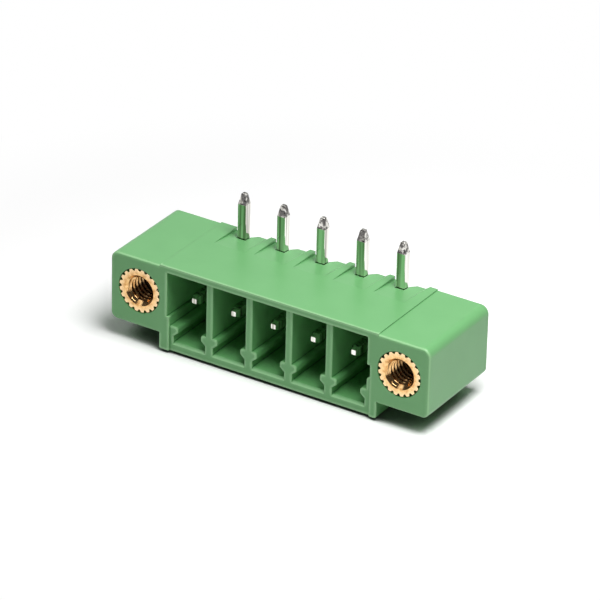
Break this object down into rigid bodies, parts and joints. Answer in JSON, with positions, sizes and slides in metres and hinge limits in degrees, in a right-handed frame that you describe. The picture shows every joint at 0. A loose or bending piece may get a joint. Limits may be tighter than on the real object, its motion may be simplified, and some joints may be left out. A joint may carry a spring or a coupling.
{
  "type": "terminal block header",
  "caption": "Shrouded board header half of a pluggable terminal block, with right-angle solder pins and a threaded flange at each end.",
  "frame": {"origin": "under the middle of the housing, on the plane that the shroud's floor rests on", "axes": "+X along the row of poles, -Y out of the mouth that the plug enters, +Z out of the face that meets the board, the way the solder pins point"},
  "size_m": [0.0304, 0.0092, 0.0116],
  "materials": {
    "housing_plastic": "fine moulded satin, green polyamide",
    "pin_tin": "bright tin plating over drawn copper alloy wire",
    "insert_brass": "turned and knurled, bright"
  },
  "bodies": {
    "root": {"housing": "housing_plastic", "pin_1": "pin_tin", "pin_2": "pin_tin", "pin_3": "pin_tin", "pin_4": "pin_tin", "pin_5": "pin_tin", "insert_left": "insert_brass", "insert_right": "insert_brass"}
  },
  "joints": []
}
